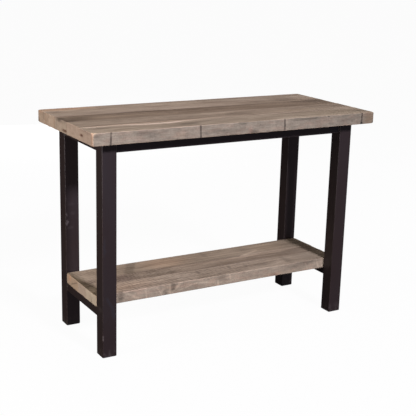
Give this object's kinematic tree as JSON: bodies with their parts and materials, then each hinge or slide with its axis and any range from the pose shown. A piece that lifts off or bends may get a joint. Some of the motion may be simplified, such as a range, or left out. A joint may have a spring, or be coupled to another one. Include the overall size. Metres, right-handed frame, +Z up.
{
  "type": "console table",
  "caption": "Console table with a thick reclaimed-plank top and a lower plank shelf on a welded square-tube steel frame.",
  "frame": {"origin": "on the floor, below the middle of the top", "axes": "+X along the length to the right, +Y to the back, +Z up; the front is the -Y side"},
  "size_m": [1.08, 0.47, 0.762],
  "materials": {
    "top_wood": "matte, weathered gray-brown, worn pinkish tan at the arrises",
    "shelf_wood": "matte, weathered gray-brown, rough sawn",
    "painted_steel": "satin dark brown-black paint",
    "cap_plastic": "matte moulded",
    "zinc_plated_steel": "dull zinc plate",
    "weld_metal": "rippled weld under satin dark brown-black paint"
  },
  "bodies": {
    "root": {"top_board_front": "top_wood", "top_board_middle": "top_wood", "top_board_dark": "top_wood", "top_board_narrow": "top_wood", "top_board_back": "top_wood", "shelf_board_front": "shelf_wood", "shelf_board_middle": "shelf_wood", "shelf_board_back": "shelf_wood", "leg_front_left": "painted_steel", "leg_front_right": "painted_steel", "leg_back_left": "painted_steel", "leg_back_right": "painted_steel", "rail_front": "painted_steel", "rail_back": "painted_steel", "rail_left": "painted_steel", "rail_right": "painted_steel", "stretcher_left": "painted_steel", "stretcher_right": "painted_steel", "foot_cap_front_left": "cap_plastic", "foot_cap_front_right": "cap_plastic", "foot_cap_back_left": "cap_plastic", "foot_cap_back_right": "cap_plastic", "tab_front_left": "painted_steel", "tab_front_middle": "painted_steel", "tab_front_right": "painted_steel", "tab_back_left": "painted_steel", "tab_back_middle": "painted_steel", "tab_back_right": "painted_steel", "tab_side_left": "painted_steel", "tab_side_right": "painted_steel", "top_screws": "zinc_plated_steel", "top_washers": "zinc_plated_steel", "shelf_screws": "zinc_plated_steel", "rail_welds": "weld_metal", "stretcher_welds": "weld_metal"}
  },
  "joints": []
}
